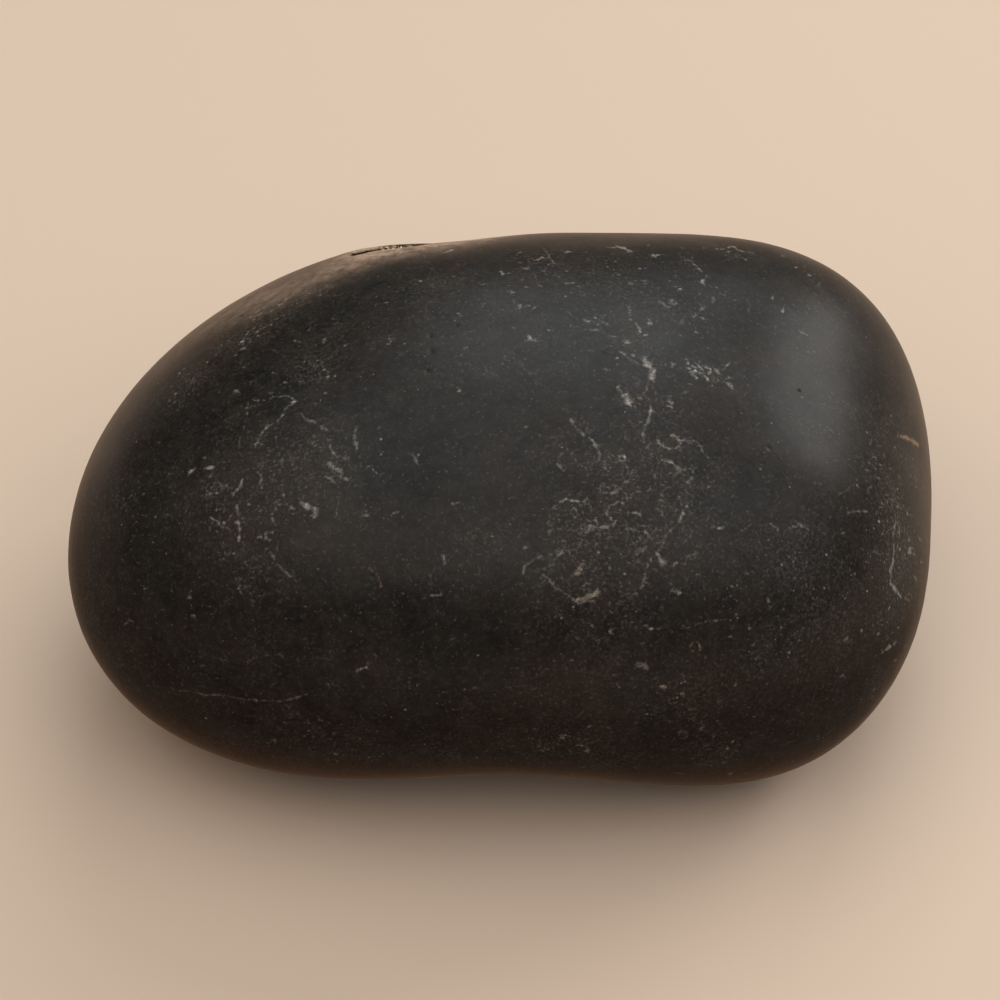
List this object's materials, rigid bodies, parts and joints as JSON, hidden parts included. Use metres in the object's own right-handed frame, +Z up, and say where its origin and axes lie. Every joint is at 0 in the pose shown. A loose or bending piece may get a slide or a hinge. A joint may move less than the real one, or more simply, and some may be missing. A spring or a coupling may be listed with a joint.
{
  "type": "shaligram stone",
  "caption": "Loaf-shaped black river stone, blunt at one end and narrower at the other, with a small natural mouth in its far upper rim and a flat to rest on.",
  "frame": {"origin": "on the ground, under the middle of the stone", "axes": "+X along the stone towards its blunt end, +Y towards the rim that holds the mouth, +Z up"},
  "size_m": [0.1, 0.07, 0.05],
  "materials": {
    "stone": "satin"
  },
  "bodies": {
    "root": {"stone": "stone"}
  },
  "joints": []
}
